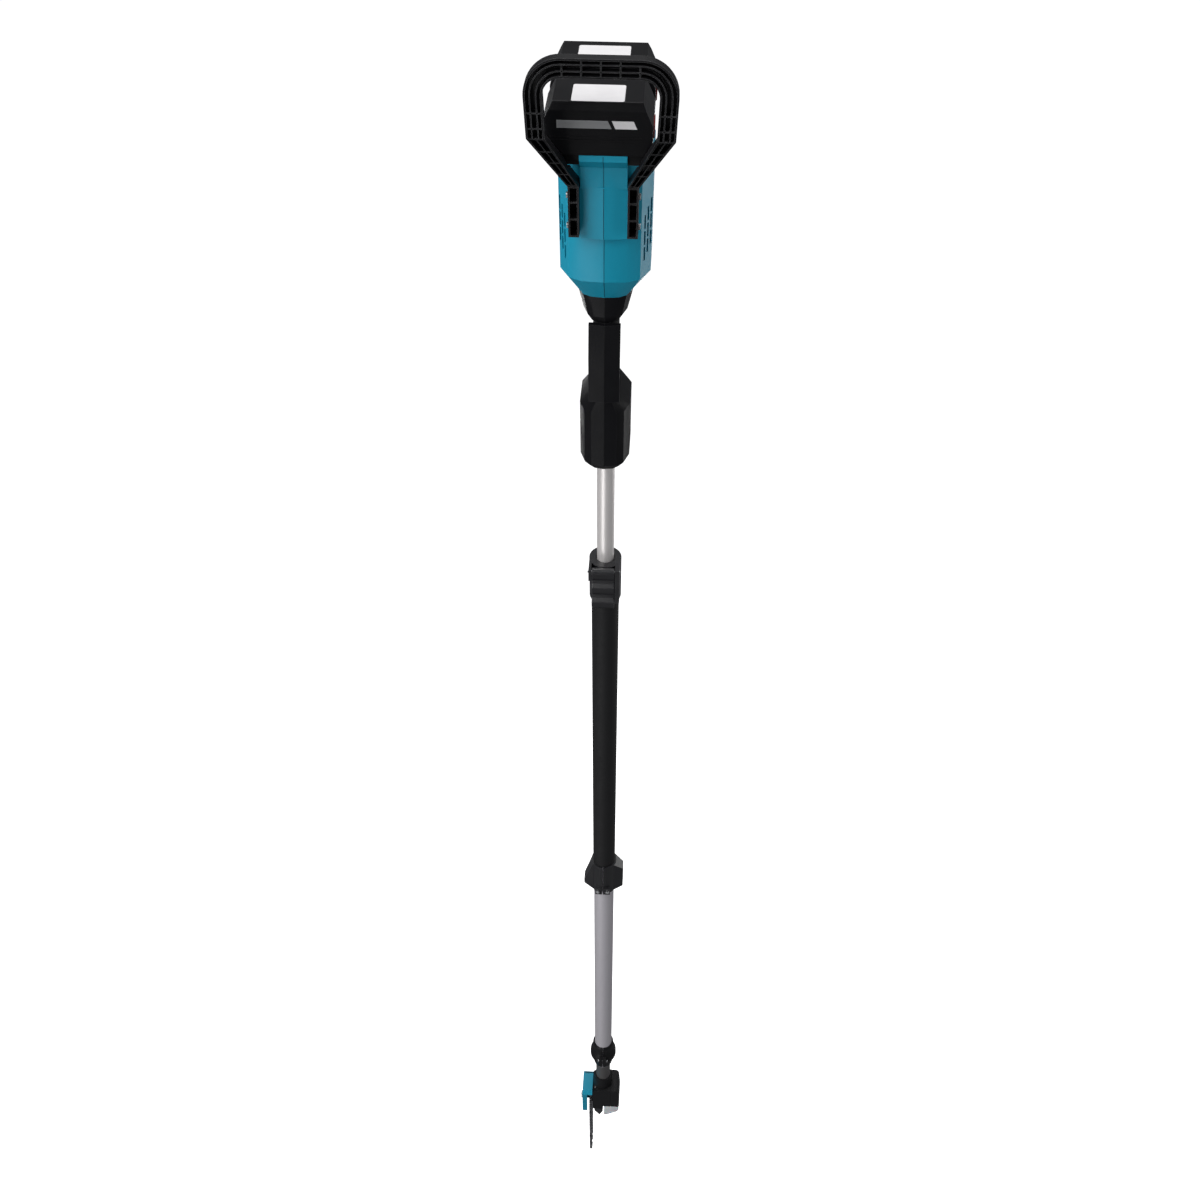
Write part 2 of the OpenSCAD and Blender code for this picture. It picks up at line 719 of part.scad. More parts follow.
module oil_tank() {
    color("#d9dadd", 0.75) difference() {
        union() {
            profile_y(body_y + 2, body_y2 - 3, tank_profile(0));
            rod_y(body_y2 - 4, body_y2 + 8, 20, tank_z - 18, 9.5);
        }
        profile_y(body_y + 4, body_y2 - 5, tank_profile(2));
        rod_y(body_y2 - 12, body_y2 + 9, 20, tank_z - 18, 7);
    }
}
module oil_cap() {
    color("#2b2c2f") difference() {
        rod_y(body_y2 + 0.5, body_y2 + 14, 20, tank_z - 18, 14);
        rod_y(body_y2, body_y2 + 9, 20, tank_z - 18, 9.9);
        for (a = [0:30:359]) translate([20, 0, tank_z - 18]) rotate([0, a, 0])
            rod_y(body_y2, body_y2 + 15, 15, 0, 2);
    }
}
module cover_outline(y) {
    polygon([[-y, head_z - 20], [-y + 8, head_z - 11], [y - 15, head_z - 11], [y - 1.5, head_z - 28],
        [y - 1.5, head_end_z - 8], [-y, head_end_z - 8]]);
}
module sprocket_cover() {
    color("#1b7f99") difference() {
        translate([cover_x, 0, 0]) rotate([90, 0, 90]) linear_extrude(body_x - 0.5 - cover_x) cover_outline(33);
        box(cover_x + 3.5, 0, -29.5, 28.5, sprocket_z + 28.5, head_end_z - 20);
        box(cover_x + 12, 0, -40, 0, sprocket_z + 24, head_end_z - 20);
        for (z = stud_z) rod_x(cover_x - 4, -20, 0, z, 4.2);
    }
    color("#1b7f99") difference() {
        for (z = stud_z) rod_x(cover_x + 3.5, bar_x - bar_t / 2 - 0.4, 0, z, boss_r);
        for (z = stud_z) rod_x(cover_x - 4, -20, 0, z, 4.2);
    }
}
module bar_studs() { color("silver") for (z = stud_z) rod_x(cover_x - 3, body_x + 8, 0, z, 4); }
module cover_nuts() {
    color("#9b9da1") for (z = stud_z) difference() {
        translate([cover_x - 5, 0, z]) rotate([0, 90, 0]) cylinder(r = 7.4, h = 5, $fn = 6);
        rod_x(cover_x - 3, cover_x + 1, 0, z, 4);
    }
}
module bar_plan(grow) {
    hull() {
        translate([0, nose_centre_z]) circle(r = bar_w / 2 + grow);
        translate([0, tail_z - 38]) circle(r = bar_w / 2 + grow);
    }
}
module guide_bar() {
    color("#a3a5a8") translate([bar_x - bar_t / 2, 0, 0]) rotate([90, 0, 90]) linear_extrude(bar_t) difference() {
        union() {
            bar_plan(0);
            hull() {
                translate([0, tail_z - 38]) circle(r = bar_w / 2);
                translate([0, tail_z - 14]) circle(r = 14);
            }
        }
        hull() {
            translate([0, stud_z[0]]) circle(r = 4.1);
            translate([0, stud_z[1] - 6.2]) circle(r = 4.1);
        }
    }
}
module chain_plan(grow) {
    bar_plan(grow);
    hull() {
        translate([0, tail_z - 38]) circle(r = bar_w / 2 + grow);
        translate([0, sprocket_z]) circle(r = sprocket_r + 0.4 + grow);
    }
}
module saw_chain() {
    color("#3c3d40") translate([bar_x - chain_w / 2, 0, 0]) rotate([90, 0, 90])
        linear_extrude(chain_w) difference() {
        chain_plan(chain_h);
        chain_plan(0);
    }
}
module tension_screw() {
    color("#b5b7ba") translate([tension_x, tension_y, 0]) difference() {
        union() {
            rod(head_end_z + 26, head_end_z - slide_gap, tension_r);
            rod(head_end_z - slide_gap, head_end_z - 4, 4.5);
        }
        box(-6, 6, -0.6, 0.6, head_end_z - 2.5, head_end_z - 5);
    }
}

motor_housing_left();
motor_housing_right();
handle_left();
handle_right();
grip_overmould();
base_loop();
loop_screws();
housing_screws();
battery_mount_near();
battery_mount_far();
stator();
front_bearing();
rear_bearing();
control_board();
trigger_switch();
control_panel();
inner_pipe();
slider_bush();
pipe_holder();
shaft_bushes();
strap_bracket();
trigger();
trigger_pin();
lock_off_lever();
lock_off_pin();
power_button();
battery_near();
battery_near_cells();
battery_near_button();
battery_far();
battery_far_cells();
battery_far_button();
rotor();
cooling_fan();
drive_shaft();
outer_pipe();
pole_sheath();
clamp_body();
clamp_pin();
clamp_lever();
pipe_bush();
hand_stop();
hand_stop_screws();
head_coupling();
coupling_bolts();
gear_case();
saw_body();
bumper();
tank_guard();
oil_tank();
oil_cap();
sprocket_cover();
bar_studs();
cover_nuts();
drive_tube();
bevel_gear();
chain_sprocket();
guide_bar();
saw_chain();
tension_screw();
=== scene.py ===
import math

import bmesh
import bpy
from mathutils import Matrix, Vector


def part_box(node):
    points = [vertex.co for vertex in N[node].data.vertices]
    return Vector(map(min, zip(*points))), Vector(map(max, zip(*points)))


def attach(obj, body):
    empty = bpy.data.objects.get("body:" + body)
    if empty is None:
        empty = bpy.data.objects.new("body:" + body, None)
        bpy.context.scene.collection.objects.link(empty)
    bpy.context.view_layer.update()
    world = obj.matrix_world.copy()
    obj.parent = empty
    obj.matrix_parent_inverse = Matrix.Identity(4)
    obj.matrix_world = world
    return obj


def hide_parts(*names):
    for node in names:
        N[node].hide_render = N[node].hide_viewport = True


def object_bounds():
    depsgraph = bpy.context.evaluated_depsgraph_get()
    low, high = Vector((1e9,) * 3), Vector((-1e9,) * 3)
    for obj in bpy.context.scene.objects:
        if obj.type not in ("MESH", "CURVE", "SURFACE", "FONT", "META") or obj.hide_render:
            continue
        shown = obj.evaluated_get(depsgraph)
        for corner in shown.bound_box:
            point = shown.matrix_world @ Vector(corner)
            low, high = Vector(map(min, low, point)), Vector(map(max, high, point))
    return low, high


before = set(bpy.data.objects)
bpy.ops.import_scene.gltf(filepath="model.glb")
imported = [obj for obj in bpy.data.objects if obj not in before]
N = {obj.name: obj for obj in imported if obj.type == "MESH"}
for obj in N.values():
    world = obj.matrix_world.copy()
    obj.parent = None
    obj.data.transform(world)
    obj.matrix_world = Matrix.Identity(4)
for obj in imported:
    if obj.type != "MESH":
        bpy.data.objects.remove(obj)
cad_lo, cad_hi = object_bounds()
MM = 0.001
scene = bpy.context.scene


# ---------------------------------------------------------------- node helpers


class Graph:
    """A small helper around one material's node tree."""

    def __init__(self, name):
        self.mat = bpy.data.materials.new(name)
        self.mat.use_nodes = True
        self.tree = self.mat.node_tree
        self.tree.nodes.clear()
        self.out = self.add("ShaderNodeOutputMaterial")
        self.bsdf = self.add("ShaderNodeBsdfPrincipled")
        self.link(self.bsdf.outputs["BSDF"], self.out.inputs["Surface"])
        coord = self.add("ShaderNodeTexCoord")
        self.object = coord.outputs["Object"]

    def add(self, kind, **values):
        node = self.tree.nodes.new(kind)
        for key, value in values.items():
            setattr(node, key, value)
        return node

    def link(self, a, b):
        self.tree.links.new(a, b)

    def set(self, node, **values):
        for key, value in values.items():
            node.inputs[key.replace("_", " ")].default_value = value

    def scaled(self, x, y, z):
        node = self.add("ShaderNodeMapping")
        node.inputs["Scale"].default_value = (x, y, z)
        self.link(self.object, node.inputs["Vector"])
        return node.outputs["Vector"]

    def noise(self, scale, detail=3.0, rough=0.5, vector=None):
        node = self.add("ShaderNodeTexNoise")
        self.set(node, Scale=scale, Detail=detail, Roughness=rough)
        self.link(vector or self.object, node.inputs["Vector"])
        return node.outputs["Fac"]

    def remap(self, value, a0, a1, b0, b1):
        node = self.add("ShaderNodeMapRange")
        self.link(value, node.inputs["Value"])
        for key, v in zip(("From Min", "From Max", "To Min", "To Max"), (a0, a1, b0, b1)):
            node.inputs[key].default_value = v
        return node.outputs["Result"]

    def math(self, op, a, b=None):
        node = self.add("ShaderNodeMath", operation=op)
        for i, v in enumerate((a, b)):
            if v is None:
                continue
            if isinstance(v, (int, float)):
                node.inputs[i].default_value = v
            else:
                self.link(v, node.inputs[i])
        return node.outputs["Value"]

    def mix(self, fac, a, b):
        node = self.add("ShaderNodeMix", data_type="RGBA")
        for i, v in ((0, fac), (6, a), (7, b)):
            if isinstance(v, (tuple, float)):
                node.inputs[i].default_value = (*v, 1.0) if isinstance(v, tuple) else v
            else:
                self.link(v, node.inputs[i])
        return node.outputs[2]

    def edges(self, radius):
        """1 along convex and concave edges, 0 on open faces."""
        bevel = self.add("ShaderNodeBevel", samples=4)
        bevel.inputs["Radius"].default_value = radius
        geo = self.add("ShaderNodeNewGeometry")
        dot = self.add("ShaderNodeVectorMath", operation="DOT_PRODUCT")
        self.link(bevel.outputs["Normal"], dot.inputs[0])
        self.link(geo.outputs["Normal"], dot.inputs[1])
        return self.remap(dot.outputs["Value"], 1.0, 0.86, 0.0, 1.0)

    def bump(self, height, strength, distance):
        node = self.add("ShaderNodeBump")
        self.set(node, Strength=strength, Distance=distance)
        self.link(height, node.inputs["Height"])
        self.link(node.outputs["Normal"], self.bsdf.inputs["Normal"])


def shade(color, factor):
    return tuple(min(1.0, c * factor) for c in color)


def moulded(name, color, rough, vary=0.12, grain=2600, depth=0.00004, coat=0.0, wear_and_sheen=0.3, spec=0.24,
            wear_sheen_color=None):
    """Moulded plastic or rubber: mottled colour, fine grain, edges lightened and made glossier: partly
    rubbed wear, partly a painted highlight where edges catch the light.
    """
    g = Graph(name)
    broad = g.noise(14, 4)
    tone = g.mix(broad, shade(color, 1 - vary), shade(color, 1 + vary))
    speck = g.remap(g.noise(900, 2), 0.35, 0.75, 0.0, 0.35)
    tone = g.mix(speck, tone, shade(color, 1 + 1.6 * vary))
    # Edge mask: lightens edges, part rubbed wear and part painted highlight of light caught on the edges.
    edge = g.math("MULTIPLY", g.edges(0.0011), g.remap(g.noise(120, 3), 0.3, 0.7, 0.4, 1.0))
    edge = g.math("MULTIPLY", edge, wear_and_sheen)
    tone = g.mix(edge, tone, wear_sheen_color or tuple(min(1.0, c * 1.7 + 0.012) for c in color))
    g.link(tone, g.bsdf.inputs["Base Color"])
    r = g.remap(g.noise(40, 4), 0.3, 0.7, rough * 0.9, rough * 1.1)
    g.link(g.math("SUBTRACT", r, g.math("MULTIPLY", edge, 0.1)), g.bsdf.inputs["Roughness"])
    g.bsdf.inputs["Specular IOR Level"].default_value = spec
    if coat:
        g.bsdf.inputs["Coat Weight"].default_value = coat
        g.bsdf.inputs["Coat Roughness"].default_value = 0.25
    g.bump(g.noise(grain, 3, 0.6), 0.35, depth)
    return g.mat


def metal(name, color, rough, streak=(60, 60, 60), scratch=0.25, metallic=1.0, grain=0.00003,
          contrast=0.12):
    """Metal: streaks along or across an axis, faint scratches and handling marks."""
    g = Graph(name)
    lines = g.noise(9, 5, 0.6, g.scaled(*streak))
    tone = g.mix(lines, shade(color, 1 - contrast), shade(color, 1 + contrast))
    marks = g.remap(g.noise(22, 6, 0.7), 0.55, 0.8, 0.0, scratch)
    tone = g.mix(marks, tone, shade(color, 0.62))
    edge = g.math("MULTIPLY", g.edges(0.0007), 0.3)
    tone = g.mix(edge, tone, shade(color, 1.35))
    g.link(tone, g.bsdf.inputs["Base Color"])
    g.bsdf.inputs["Metallic"].default_value = metallic
    r = g.remap(lines, 0.2, 0.8, rough * (1 - 2 * contrast), rough * (1 + 2 * contrast))
    g.link(r, g.bsdf.inputs["Roughness"])
    g.bump(lines, 0.3, grain)
    return g.mat


def tank_material():
    """Milky translucent plastic."""
    g = Graph("tank_plastic")
    tone = g.mix(g.noise(30, 4), (0.74, 0.75, 0.77), (0.86, 0.87, 0.89))
    edge = g.math("MULTIPLY", g.edges(0.0012), 0.4)
    g.link(g.mix(edge, tone, (0.95, 0.95, 0.96)), g.bsdf.inputs["Base Color"])
    g.link(g.remap(g.noise(60, 3), 0.3, 0.7, 0.3, 0.42), g.bsdf.inputs["Roughness"])
    g.bsdf.inputs["Transmission Weight"].default_value = 0.35
    g.bsdf.inputs["Subsurface Weight"].default_value = 0.25
    g.bsdf.inputs["Subsurface Scale"].default_value = 0.01
    g.bump(g.noise(1500, 3), 0.3, 0.00004)
    return g.mat


def label_material():
    """Blank white film."""
    g = Graph("label_white")
    tone = g.mix(g.noise(60, 4), (0.60, 0.59, 0.60), (0.70, 0.69, 0.70))
    g.link(tone, g.bsdf.inputs["Base Color"])
    g.link(g.remap(g.noise(300, 3), 0.3, 0.7, 0.38, 0.5), g.bsdf.inputs["Roughness"])
    g.bump(g.noise(2400, 3), 0.2, 0.00002)
    return g.mat


TEAL = (0.006, 0.270, 0.405)
BLACK = (0.0042, 0.0042, 0.0050)
HANDLE_BLACK = (0.0045, 0.0045, 0.0056)

MATS = {
    "teal_housing": moulded("teal_housing", TEAL, 0.42, vary=0.06, coat=0.05, wear_and_sheen=0.25, spec=0.3),
    # The housing's teal darkened by a tenth: painted shade for the cover's shaded face.
    "teal_cover": moulded("teal_cover", shade(TEAL, 0.9), 0.4, vary=0.06, coat=0.05, wear_and_sheen=0.25, spec=0.3),
    "black_plastic": moulded("black_plastic", BLACK, 0.5, vary=0.2),
    # Loop edges lightened strongly: painted highlight for the light caught on the rib edges, with some
    # rubbed wear.
    "loop_plastic": moulded("loop_plastic", shade(BLACK, 1.15), 0.44, vary=0.2, wear_and_sheen=1.0, spec=0.24,
                            wear_sheen_color=(0.09, 0.09, 0.094)),
    # Black lightened, with bright edges: painted highlight for the light caught on the clamp's teeth.
    "clamp_plastic": moulded("clamp_plastic", shade(BLACK, 2.2), 0.34, vary=0.2, wear_and_sheen=0.9, spec=0.55,
                             wear_sheen_color=(0.05, 0.05, 0.055)),
    "grip_rubber": moulded("grip_rubber", shade(BLACK, 1.4), 0.72, vary=0.2, grain=1500, depth=0.00012,
                           spec=0.22),
    "battery_plastic": moulded("battery_plastic", shade(BLACK, 0.95), 0.34, vary=0.15, grain=3600,
                               depth=0.00002, spec=0.17),
    "battery_button": moulded("battery_button", (0.16, 0.012, 0.012), 0.45),
    "cell_wrap": moulded("cell_wrap", (0.05, 0.27, 0.11), 0.35),
    "mount_plastic": moulded("mount_plastic", shade(BLACK, 0.9), 0.5),
    "trigger_plastic": moulded("trigger_plastic", shade(BLACK, 1.1), 0.4),
    "button_grey": moulded("button_grey", (0.42, 0.43, 0.45), 0.4),
    "sheath_rubber": moulded("sheath_rubber", shade(BLACK, 1.1), 0.66, vary=0.2, grain=1800, depth=0.0001,
                             spec=0.34),
    "holder_rubber": moulded("holder_rubber", shade(BLACK, 1.4), 0.7, spec=0.35),
    "bright_aluminium": metal("bright_aluminium", (0.86, 0.83, 0.82), 0.4, (60, 60, 1.2), metallic=0.55,
                              scratch=0.06, contrast=0.03, grain=0.000004),
    "anodised_aluminium": metal("anodised_aluminium", (0.62, 0.6, 0.64), 0.46, (60, 60, 1.5),
                                metallic=0.45, scratch=0.08, contrast=0.03, grain=0.000004),
    "cast_aluminium": metal("cast_aluminium", (0.13, 0.125, 0.125), 0.45, scratch=0.3, metallic=0.6,
                            grain=0.0001),
    "bush_nylon": moulded("bush_nylon", (0.72, 0.69, 0.6), 0.5, vary=0.04),
    "steel": metal("steel", (0.58, 0.59, 0.6), 0.28, (50, 50, 50)),
    "bar_steel": metal("bar_steel", (0.42, 0.43, 0.45), 0.34, (40, 40, 4), scratch=0.4),
    "chain_steel": metal("chain_steel", (0.16, 0.16, 0.17), 0.38, scratch=0.4),
    "bumper_steel": metal("bumper_steel", (0.05, 0.05, 0.055), 0.4, scratch=0.3, metallic=0.6),
    "stator_copper": metal("stator_copper", (0.62, 0.27, 0.1), 0.35, (10, 10, 300)),
    "board": moulded("board", (0.012, 0.11, 0.045), 0.4),
    "tank_plastic": tank_material(),
    "label": label_material(),
    "handle_plastic": moulded("handle_plastic", HANDLE_BLACK, 0.44, vary=0.2, wear_and_sheen=0.6, spec=0.14,
                              wear_sheen_color=(0.045, 0.045, 0.05)),
    # The lever's black lightened further, with bright edges: painted highlight for the light bands on its
    # teeth.
    "lever_plastic": moulded("lever_plastic", shade(BLACK, 2.4), 0.34, vary=0.2, wear_and_sheen=1.0, spec=0.6,
                             wear_sheen_color=(0.13, 0.13, 0.14)),
    "seam_shadow": moulded("seam_shadow", (0.002, 0.03, 0.045), 0.6, vary=0.1, wear_and_sheen=0.1),
    "seam_black": moulded("seam_black", (0.002, 0.002, 0.0022), 0.6, vary=0.1, wear_and_sheen=0.1),
    "stripe_grey": moulded("stripe_grey", (0.20, 0.205, 0.21), 0.45, vary=0.05),
}


# --------------------------------------------------------------- mesh helpers


def round_edges(obj, width):
    """Bevels every edge that turns by more than 24 degrees."""
    bevel = obj.modifiers.new("bevel", "BEVEL")
    bevel.width = width
    bevel.segments = 2
    bevel.limit_method = "ANGLE"
    bevel.angle_limit = math.radians(24.0)
    bevel.harden_normals = True
    bevel.use_clamp_overlap = True
    obj.data.shade_smooth()


def soften(obj, width):
    """Rounds a CAD node's sharp edges with modifiers; its own mesh stays as packed."""
    weld = obj.modifiers.new("weld", "WELD")
    weld.merge_threshold = 0.00001
    flat = obj.modifiers.new("planar", "DECIMATE")
    flat.decimate_type = "DISSOLVE"
    flat.angle_limit = math.radians(0.5)
    round_edges(obj, width)
    normals = obj.modifiers.new("normals", "WEIGHTED_NORMAL")
    normals.keep_sharp = True


def dress(obj, material):
    obj.data.materials.clear()
    obj.data.materials.append(material)


# Edge radius of each CAD node that shows, in millimetres
BEVEL = {
    "motor_housing_left": 1.6, "motor_housing_right": 1.6, "handle_left": 1.2, "handle_right": 1.2,
    "battery_near": 1.6, "battery_far": 1.6, "battery_near_button": 0.6, "battery_far_button": 0.6,
    "base_loop": 1.2, "clamp_body": 1.2, "clamp_lever": 1.3, "hand_stop": 1.6, "head_coupling": 1.0,
    "gear_case": 1.5, "saw_body": 1.8, "tank_guard": 1.8, "oil_tank": 1.6, "oil_cap": 0.8,
    "sprocket_cover": 1.6, "bumper": 0.7, "trigger": 1.4, "lock_off_lever": 1.2, "control_panel": 0.5,
    "power_button": 0.6, "strap_bracket": 0.8, "cover_nuts": 0.5, "tension_screw": 0.3, "guide_bar": 0.4,
    "inner_pipe": 0.4, "outer_pipe": 0.3, "pole_sheath": 0.8, "loop_screws": 0.3, "housing_screws": 0.3,
    "hand_stop_screws": 0.3, "coupling_bolts": 0.4,
}
# Nodes whose look differs from the rest of their material slot
SPECIAL = {
    "handle_left": "handle_plastic", "handle_right": "handle_plastic", "clamp_lever": "lever_plastic",
}
for name, node in N.items():
    dress(node, MATS[SPECIAL.get(name) or node.data.materials[0].name.split(".")[0]])
    if name in BEVEL:
        soften(node, BEVEL[name] * MM)

# ------------------------------------------------------------ detailed pieces


class Shape:
    """Collects blocks and swept strips into one mesh."""

    def __init__(self, name):
        self.name = name
        self.bm = bmesh.new()

    def hexa(self, corners):
        """A closed block from its eight corners: four of one end, then four of the other."""
        v = [self.bm.verts.new(Vector(c) * MM) for c in corners]
        ends = [(0, 3, 2, 1), (4, 5, 6, 7)]
        sides = [(0, 1, 5, 4), (1, 2, 6, 5), (2, 3, 7, 6), (3, 0, 4, 7)]
        for face in ends + sides:
            self.bm.faces.new([v[i] for i in face])

    def box(self, x1, x2, y1, y2, z1, z2):
        self.hexa([(x, y, z) for z in (z1, z2) for x, y in ((x1, y1), (x2, y1), (x2, y2), (x1, y2))])

    def sweep(self, rings):
        """A solid strip through rings of equal length, capped at both ends."""
        loops = [[self.bm.verts.new(Vector(c) * MM) for c in ring] for ring in rings]
        count = len(loops[0])
        for a, b in zip(loops, loops[1:]):
            for i in range(count):
                j = (i + 1) % count
                self.bm.faces.new((a[i], a[j], b[j], b[i]))
        self.bm.faces.new(loops[0][::-1])
        self.bm.faces.new(loops[-1])

    def prism(self, outline, place, depth):
        """An outline of 2-D points extruded by depth; place maps (u, v, w) to x, y, z."""
        rings = [[place(u, v, w) for u, v in outline] for w in (0, depth)]
        self.sweep(rings)

    def finish(self, material, body, bevel=0.0, replaces=()):
        """Makes the object and says which body it rides on and the nodes it replaces."""
        bmesh.ops.recalc_face_normals(self.bm, faces=self.bm.faces)
        mesh = bpy.data.meshes.new(self.name)
        self.bm.to_mesh(mesh)
        self.bm.free()
        obj = bpy.data.objects.new(self.name, mesh)
        scene.collection.objects.link(obj)
        dress(obj, material)
        if bevel:
            round_edges(obj, bevel * MM)
        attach(obj, body)
        if replaces:
            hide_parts(*replaces)
        return obj


def lerp(a, b, t):
    return a + (b - a) * t


def box_mm(name):
    """A CAD node's low and high corners, in millimetres."""
    return [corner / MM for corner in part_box(name)]


# Base loop: a ribbed channel, open to the front
LOOP_LO, LOOP_HI = box_mm("base_loop")
LOOP_W = LOOP_HI.x             # half width of the loop
LOOP_TOP = LOOP_HI.z
LOOP_FACE = LOOP_LO.y
LOOP_SIDE = LOOP_W - 1.5       # outer side of the straight sides
BAND = 19.6                    # width of the loop's band
DEPTH = 12.0                   # depth of the channel, face to back
SIDE_Z = 320.0                 # where the straight sides meet the diagonals
CORNER = 38.0                  # outer radius of the two top corners
CORNER_STEPS = 12
WALL = 2.2 / BAND              # outer walls, as a fraction of the band
RIB = 1.5 / BAND               # long ribs, as a fraction of the band
FLOOR_T = 2.6                  # thickness of the channel's back
RIB_INSET = 1.2                # ribs stand this far below the face
RIB_SINK = 2.0                 # ribs stop this far short of the outer back
CROSS_HALF = 0.75              # half thickness of a cross rib
CROSS_PITCH = 19.4
STEM_OUT = 39.0                # outer side of a stem
STEM_W = 12.0
STEM_FACE = -82.0
STEM_DEPTH = 22.0
STEM_TOP = 246.0
STEM_END = 186.0
PACK_FACE = box_mm("battery_near")[0].y - 0.7
PACK_EDGE = 269.4              # above this the diagonals pass in front of the near pack
DIAGONAL_STEPS = 12
DIAGONAL_RIBS = (0.02, 0.27, 0.5, 0.74, 0.98)

loop = Shape("base_loop_ribbed")


def loop_stations():
    """(outer point, inner point) of the band, from the top of one diagonal over the loop to the other."""
    pts = [((-LOOP_SIDE, SIDE_Z), (-LOOP_SIDE + BAND, SIDE_Z))]
    cz = LOOP_TOP - CORNER
    for side, a0, a1 in ((-1, 180, 90), (1, 90, 0)):
        cx = side * (LOOP_W - CORNER)
        for i in range(CORNER_STEPS + 1):
            a = math.radians(lerp(a0, a1, i / CORNER_STEPS))
            radii = (CORNER, CORNER - BAND)
            pts.append(tuple((cx + r * math.cos(a), cz + r * math.sin(a)) for r in radii))
    pts.append(((LOOP_SIDE, SIDE_Z), (LOOP_SIDE - BAND, SIDE_Z)))
    return pts


def band_strip(t0, t1, y0, y1):
    """A strip along the band between two fractions of its width and two depths."""
    rings = []
    for (ox, oz), (ix, iz) in loop_stations():
        ax, az = lerp(ox, ix, t0), lerp(oz, iz, t0)
        bx, bz = lerp(ox, ix, t1), lerp(oz, iz, t1)
        rings.append([(ax, y0, az), (bx, y0, bz), (bx, y1, bz), (ax, y1, az)])
    loop.sweep(rings)


def loop_band():
    back = LOOP_FACE + DEPTH
    band_strip(0, WALL, LOOP_FACE, back)
    band_strip(1 - WALL, 1, LOOP_FACE, back)
    band_strip(WALL * 0.9, 1 - WALL * 0.9, back - FLOOR_T, back)
    for t in (0.335, 0.67):
        band_strip(t - RIB / 2, t + RIB / 2, LOOP_FACE + RIB_INSET, back - FLOOR_T * 0.9)


def cross_ribs():
    """Ribs across the top bar and the straight sides; the outermost top ribs start at a long rib."""
    face, back = LOOP_FACE + RIB_INSET, LOOP_FACE + DEPTH - RIB_SINK
    for k in range(-2, 3):
        x = k * CROSS_PITCH
        z_hi = LOOP_TOP - (0.8 if abs(k) < 2 else 0.34 * BAND)
        loop.box(x - CROSS_HALF, x + CROSS_HALF, face, back, LOOP_TOP - BAND + 0.8, z_hi)
    for s in (-1, 1):
        for z in (SIDE_Z + 10, SIDE_Z + 26):
            x1, x2 = sorted((s * (LOOP_W - 1.0), s * (LOOP_W - 0.6 - BAND)))
            loop.box(x1 + 1, x2 - 1, face, back, z - CROSS_HALF, z + CROSS_HALF)


def diagonal(s, t):
    """One diagonal's section at t, from the loop (0) to the stem (1): outer x, inner x, face, back, z."""
    outer = lerp(LOOP_SIDE, STEM_OUT, t)
    inner = lerp(LOOP_SIDE - BAND, STEM_OUT - STEM_W, t)
    face = lerp(LOOP_FACE, STEM_FACE, t)
    back = lerp(LOOP_FACE + DEPTH, STEM_FACE + STEM_DEPTH, t)
    z = lerp(SIDE_Z, STEM_TOP, t)
    if z > PACK_EDGE:
        back = min(back, PACK_FACE)
    return s * outer, s * inner, face, back, z


def diagonal_cuts():
    """Stations along a diagonal, with a close pair where the near pack's edge is."""
    edge = (SIDE_Z - PACK_EDGE) / (SIDE_Z - STEM_TOP)
    even = {i / DIAGONAL_STEPS for i in range(DIAGONAL_STEPS + 1)}
    return sorted(even | {edge - 0.004, edge + 0.004})


def diagonal_strip(s, f0, f1, depths):
    """A wall between two fractions of a diagonal's width; depths maps its face and back to the wall's."""
    rings = []
    for t in diagonal_cuts():
        outer, inner, face, back, z = diagonal(s, t)
        a, b = lerp(outer, inner, f0), lerp(outer, inner, f1)
        y0, y1 = depths(face, back)
        rings.append([(a, y0, z), (b, y0, z), (b, y1, z), (a, y1, z)])
    loop.sweep(rings)


def diagonal_channel(s):
    """Two outer walls, the back, one long rib and the cross ribs of one diagonal."""
    diagonal_strip(s, 0, 0.13, lambda face, back: (face, back))
    diagonal_strip(s, 0.87, 1, lambda face, back: (face, back))
    diagonal_strip(s, 0.12, 0.88, lambda face, back: (back - 2.2, back))
    diagonal_strip(s, 0.46, 0.54, lambda face, back: (face + RIB_INSET, back - RIB_SINK))
    for t in DIAGONAL_RIBS:
        rings = []
        for dt in (-0.012, 0.012):
            outer, inner, face, back, z = diagonal(s, min(1, max(0, t + dt)))
            a, b = lerp(outer, inner, 0.08), lerp(outer, inner, 0.92)
            y0, y1 = face + 1.0, back - RIB_SINK
            rings.append([(a, y0, z), (b, y0, z), (b, y1, z), (a, y1, z)])
        loop.sweep(rings)


def stem(s):
    """The channel that is screwed to the housing, with cross ribs; the end rib is flush with its face."""
    x1, x2 = sorted((s * STEM_OUT, s * (STEM_OUT - STEM_W)))
    y1, y2 = STEM_FACE, STEM_FACE + STEM_DEPTH
    loop.box(x1, x1 + 2, y1, y2, STEM_END, STEM_TOP)
    loop.box(x2 - 2, x2, y1, y2, STEM_END, STEM_TOP)
    loop.box(x1 + 1.8, x2 - 1.8, y2 - 2.4, y2, STEM_END, STEM_TOP)
    for z in (STEM_END, STEM_END + 20, STEM_END + 40, STEM_TOP - 2):
        inset = 0 if z == STEM_END else 1.0
        loop.box(x1 + 1.8, x2 - 1.8, y1 + inset, y2 - RIB_SINK, z, z + 2)


loop_band()
cross_ribs()
for s in (-1, 1):
    diagonal_channel(s)
    stem(s)
loop.finish(MATS["loop_plastic"], "rear_unit", bevel=0.35, replaces=("base_loop",))


